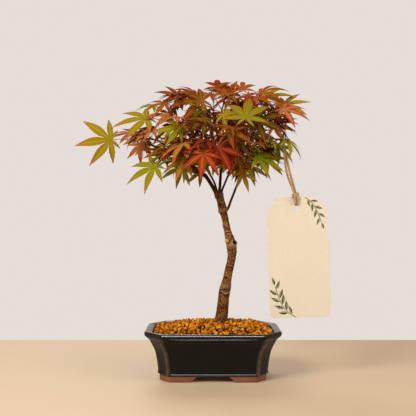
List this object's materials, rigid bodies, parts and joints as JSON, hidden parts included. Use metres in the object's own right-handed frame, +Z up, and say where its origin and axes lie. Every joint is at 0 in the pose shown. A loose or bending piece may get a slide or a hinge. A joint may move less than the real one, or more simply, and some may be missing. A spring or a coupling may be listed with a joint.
{
  "type": "potted bonsai maple",
  "caption": "Small bonsai maple with a leaning trunk and autumn-tinted lobed leaves, in a glazed rectangular pot of gravel, with a card tag on twine.",
  "frame": {"origin": "on the surface that the pot stands on, under the middle of the whole plant's box", "axes": "+Z up; +X to the right and +Y to the back, seen from the side that shows the tag's face"},
  "size_m": [0.2824, 0.1564, 0.3355],
  "materials": {
    "pot_glaze": "gloss",
    "bare_clay": "matt, unglazed",
    "gravel": "matt fired-clay grains",
    "bark": "rough bark",
    "young_bark": "smooth young bark",
    "maple_leaves": "satin leaf",
    "jute": "twisted jute twine",
    "card": "uncoated card"
  },
  "bodies": {
    "root": {"bough_back_left": "young_bark", "bough_back_right": "young_bark", "bough_leader": "young_bark", "bough_left": "bark", "bough_right": "young_bark", "foot_back_left": "bare_clay", "foot_back_right": "bare_clay", "foot_front_left": "bare_clay", "foot_front_right": "bare_clay", "gravel_bed": "gravel", "hang_tag": "card", "pot": "pot_glaze", "spray_back_left": "maple_leaves", "spray_back_low_left": "maple_leaves", "spray_back_low_right": "maple_leaves", "spray_back_right": "maple_leaves", "spray_crown_back": "maple_leaves", "spray_crown_front": "maple_leaves", "spray_crown_left": "maple_leaves", "spray_crown_right": "maple_leaves", "spray_crown_top": "maple_leaves", "spray_far_left": "maple_leaves", "spray_front_light": "maple_leaves", "spray_front_red": "maple_leaves", "spray_left_face": "maple_leaves", "spray_left_front": "maple_leaves", "spray_low_left": "maple_leaves", "spray_low_right": "maple_leaves", "spray_right_face": "maple_leaves", "spray_tag_twig": "maple_leaves", "spray_upper_left": "maple_leaves", "trunk": "bark", "twine_loop": "jute"}
  },
  "joints": []
}
